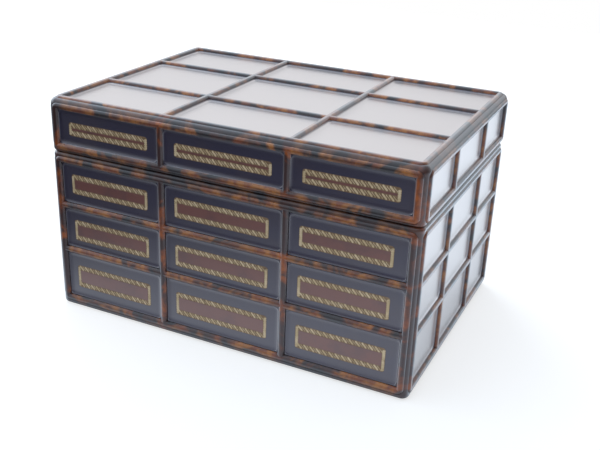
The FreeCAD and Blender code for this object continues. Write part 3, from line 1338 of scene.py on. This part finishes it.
@dataclass
class Lid(Shell):
    """The hinged lid, with its leather walls and top, its tooled front and its felt."""

    body: str = "lid"
    edges: tuple[str, ...] = ("lid_corner_posts", "lid_bottom_rails", "lid_top_rails")
    beads: tuple[str, ...] = ("lid_wall_beads", "lid_top_beads")
    cross_boards: tuple[str, ...] = ("lid_wall_boards", "lid_top_board")
    hinges: tuple[str, ...] = ("hinge_lid_leaves", "hinge_lid_screws")
    tooling: Tooling = LID_TOOLING

    def build(self, sides: list[Wall]) -> list[bpy.types.Object]:
        """Build the lid's leather, tooling and felt, and dress the rest.

        Args:
            sides: the walls of the case.

        Returns:
            Its pieces.
        """
        pieces = []
        for node in ("lid_wall_panels", "lid_top_panels"):
            pieces += build_panels(node, sides, self.body, "lid")
        fronts = [site for site in panel_sites("lid_wall_panels", sides)
                  if site.wall.name == "front"]
        for number, site in enumerate(fronts, 1):
            pieces += self.tooling.build(CovedPanel(site), f"lid_front_{number}", self.body)
        felt = build_felt("lid_lining", self.body, DOWN, LINING, Slot.LINING_FELT)
        return [*pieces, *self.dress(), felt]


def build_panels(node: str, sides: list[Wall], body: str,
                 prefix: str) -> list[bpy.types.Object]:
    """Replace a node's panels by finer ones, one piece to a wall.

    Args:
        node: the node whose panels they are.
        sides: the walls of the case.
        body: the body they ride on.
        prefix: the start of the pieces' names.

    Returns:
        The pieces.
    """
    sites, pieces = panel_sites(node, sides), []
    for wall in sorted({site.wall.name for site in sites}):
        panels = [CovedPanel(site) for site in sites if site.wall.name == wall]
        piece = make_piece(f"{prefix}_{wall}_panels", LEATHER, body, Slot.DARK_LEATHER, panels)
        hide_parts(node)
        pieces.append(piece)
    return pieces


def build_felt(node: str, body: str, out: Triple, finish: Felt, slot: Slot) -> bpy.types.Object:
    """Replace a flat node by a sheet of felt with soft edges.

    Args:
        node: the flat node.
        body: the body it rides on.
        out: the way its free face looks, up or down.
        finish: its felt.
        slot: its material slot.

    Returns:
        The piece.
    """
    low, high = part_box(node)
    plane = high.z if out == UP else -low.z
    wall = Wall(node, Vector(RIGHT), Vector(BACK), Vector(out), plane)
    site = Site(wall, low.x, high.x, low.y, high.y, 0, high.z - low.z)
    felt = make_piece(f"{node}_sheet", finish, body, slot, [Sheet(site, corner=2 * MM)])
    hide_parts(node)
    return felt


# ---------------------------------------------------------------- studio


@dataclass(frozen=True)
class TableCloth(Finish):
    """A pale cloth, lit but for its front left.

    Attributes:
        lit: where light falls on it.
        shown: how brightly the camera sees it glow, in the shade and in the light.
        hue: its colour as gloss mirrors it.
        shine: how brightly gloss mirrors it to the right of the case.
        front_share: how much of that is left before the case, where it is lit.
        past_front: the cloth behind the line of the case's front.
        beside: the cloth to the right.
    """

    name: str = "table_cloth"
    lit: Fade = Fade((0.9, 1.0, 0.0), -0.61, -0.1)
    lit_colour: Colour = (0.47, 0.5, 0.53, 1.0)
    shaded_colour: Colour = (0.06, 0.06, 0.07, 1.0)
    shown: Pair = (1.0, 0.65)
    hue: Colour = (0.88, 0.95, 1.02, 1.0)
    shine: float = 0.75
    front_share: float = 0.95
    past_front: Fade = Fade(BACK, -0.14, -0.1)
    beside: Fade = Fade(RIGHT, 0.0, 0.3)

    def surface(self, graph: Graph) -> bpy.types.Node:
        """Cloth that also glows for the camera and for gloss.

        Args:
            graph: the material's graph.

        Returns:
            The shader.
        """
        seen, mirrored, place = graph.ray(Ray.CAMERA), graph.ray(Ray.GLOSSY), graph.place()
        lit, beside = self.lit.over(graph, place), self.beside.over(graph, place)
        before = 1.0 - self.past_front.over(graph, place)
        shine = (lit * before * self.front_share).larger(beside) * self.shine
        glow = seen * lit.between(*self.shown) + mirrored * shine
        return graph.shader({
            "Base Color": graph.blend(lit, self.shaded_colour, self.lit_colour),
            "Roughness": 1.0, "Specular IOR Level": 0.0, "Emission Strength": 1.0,
            "Emission Color": graph.blend(glow, BLACK, graph.blend(seen, self.hue, WHITE))})


@dataclass(frozen=True)
class Table:
    """The table that the case stands on.

    Attributes:
        front_gap: from the case's front to the table's front edge.
    """

    front_gap: float = 0.7
    depth: float = 2.4
    half_width: float = 1.6
    cloth: TableCloth = TableCloth()

    def build(self) -> None:
        """Lay the table top under the case."""
        front = cad_box[0].y - self.front_gap
        back, wide = front + self.depth, self.half_width
        mesh = bpy.data.meshes.new("table_top")
        mesh.from_pydata([(-wide, front, 0), (wide, front, 0), (wide, back, 0), (-wide, back, 0)],
                         [], [(0, 1, 2, 3)])
        mesh.materials.append(self.cloth.material())
        add_object("table_top", mesh)


@dataclass(frozen=True)
class Room:
    """A white room: brightest behind the case, dimmer to the right, with a skylight.

    Attributes:
        walls: brightness of the walls before the case and behind it.
        right_loss: how much of it is lost behind the case to the right.
        paint: colour of the walls.
    """

    above: Fade = Fade(UP, -0.08, 0.12)
    behind: Fade = Fade(BACK, -0.7, 0.3)
    right: Fade = Fade(RIGHT, -0.3, 0.15)
    walls: Pair = (0.2, 0.96)
    right_loss: float = 0.45
    floor: float = 0.02
    paint: Colour = (0.98, 0.985, 1.0, 1.0)
    skylight: Fade = Fade((-0.5, -0.42, 0.75), 0.34, 0.88)
    skylight_glow: float = 0.82
    sky: Colour = (0.82, 0.91, 1.0, 1.0)

    def build(self) -> None:
        """Make the room the scene's world; the camera sees it plain white."""
        world = bpy.data.worlds.new("white_room")
        world.use_nodes = True
        graph = Graph(world.node_tree)
        seen = graph.ray(Ray.CAMERA)
        way = graph.signal("ShaderNodeTexCoord", output="Generated")
        above, behind, right, skylight = (
            fade.over(graph, way) for fade in (self.above, self.behind, self.right, self.skylight))
        level = above * behind.between(*self.walls) * (1.0 - behind * right * self.right_loss)
        level = level + self.floor
        room = graph.add("ShaderNodeBackground", values={
            "Color": graph.blend(skylight, self.paint, self.sky),
            "Strength": (level + skylight * self.skylight_glow).larger(seen)})
        plain = graph.add("ShaderNodeBackground", values={"Color": WHITE, "Strength": 1.0})
        mixed = graph.add("ShaderNodeMixShader", values={
            0: seen, 1: room.outputs[0], 2: plain.outputs[0]})
        graph.add("ShaderNodeOutputWorld", values={"Surface": mixed.outputs[0]})
        bpy.context.scene.world = world


@dataclass(frozen=True)
class Lamp:
    """A soft rectangular lamp that looks at the case.

    Attributes:
        mirrored: whether gloss shows it.
    """

    name: str
    place: Triple
    size: Pair
    watts: float
    mirrored: bool = False
    target: Triple = (0.0, 0.0, 0.1)

    def build(self) -> None:
        """Hang the lamp."""
        data = bpy.data.lights.new(self.name, "AREA")
        data.shape, data.size, data.size_y, data.energy = "RECTANGLE", *self.size, self.watts
        lamp = add_object(self.name, data)
        lamp.location = self.place
        lamp.rotation_mode = "QUATERNION"
        lamp.rotation_quaternion = (Vector(self.target) - lamp.location).to_track_quat("-Z", "Y")
        lamp.visible_camera, lamp.visible_glossy = False, self.mirrored


@dataclass(frozen=True)
class Camera:
    """The camera: where it stands, the right of its view, the way it looks and its lens."""

    eye: Triple = (0.3410, -0.7088, 0.4167)
    right: Triple = (0.90195, 0.43026, 0.03698)
    forward: Triple = (-0.38114, 0.83348, -0.40005)
    lens_mm: float = 53.26
    sensor_mm: float = 36.0

    def build(self) -> None:
        """Stand the camera at its eye."""
        data = bpy.data.cameras.new("camera")
        data.sensor_width, data.lens = self.sensor_mm, self.lens_mm
        camera = add_object("camera", data)
        right, forward = Vector(self.right), Vector(self.forward)
        turn = Matrix((right, right.cross(forward), -forward)).transposed()
        camera.matrix_world = Matrix.Translation(self.eye) @ turn.to_4x4()
        bpy.context.scene.camera = camera


@dataclass(frozen=True)
class Studio:
    """The camera, a pale table, a soft white room and its lamps."""

    parts: tuple[Camera | Table | Room | Lamp, ...] = (
        Camera(), Table(), Room(),
        Lamp("window", place=(-1.1, 1.3, 1.7), size=(0.9, 0.9), watts=14.0),
        Lamp("room_fill", place=(0.9, -1.6, 1.5), size=(1.4, 1.0), watts=1.5),
        Lamp("tall_window", place=(-0.26, 0.37, 1.66), size=(0.06, 0.8), watts=0.25,
             mirrored=True))

    def build(self) -> None:
        """Set up every part, and leave colours as they are written."""
        for part in self.parts:
            part.build()
        bpy.context.scene.view_settings.view_transform = "Standard"


def main() -> None:
    """Build the studio and the whole case, and report each piece."""
    logging.basicConfig(level=logging.INFO, format="%(name)s: %(message)s")
    Studio().build()
    sides = walls()
    drawers = [Drawer(f"drawer_r{row}c{column}", tooling)
               for row, tooling in DRAWER_TOOLING.items() for column in COLUMNS]
    for assembly in (CaseBody(), Lid(), *drawers):
        for piece in assembly.build(sides):
            faces, finish = len(piece.data.polygons), piece.material_slots[0].name
            log.info("%s: %d faces, %s", piece.name, faces, finish)


if __name__ == "__main__":
    main()
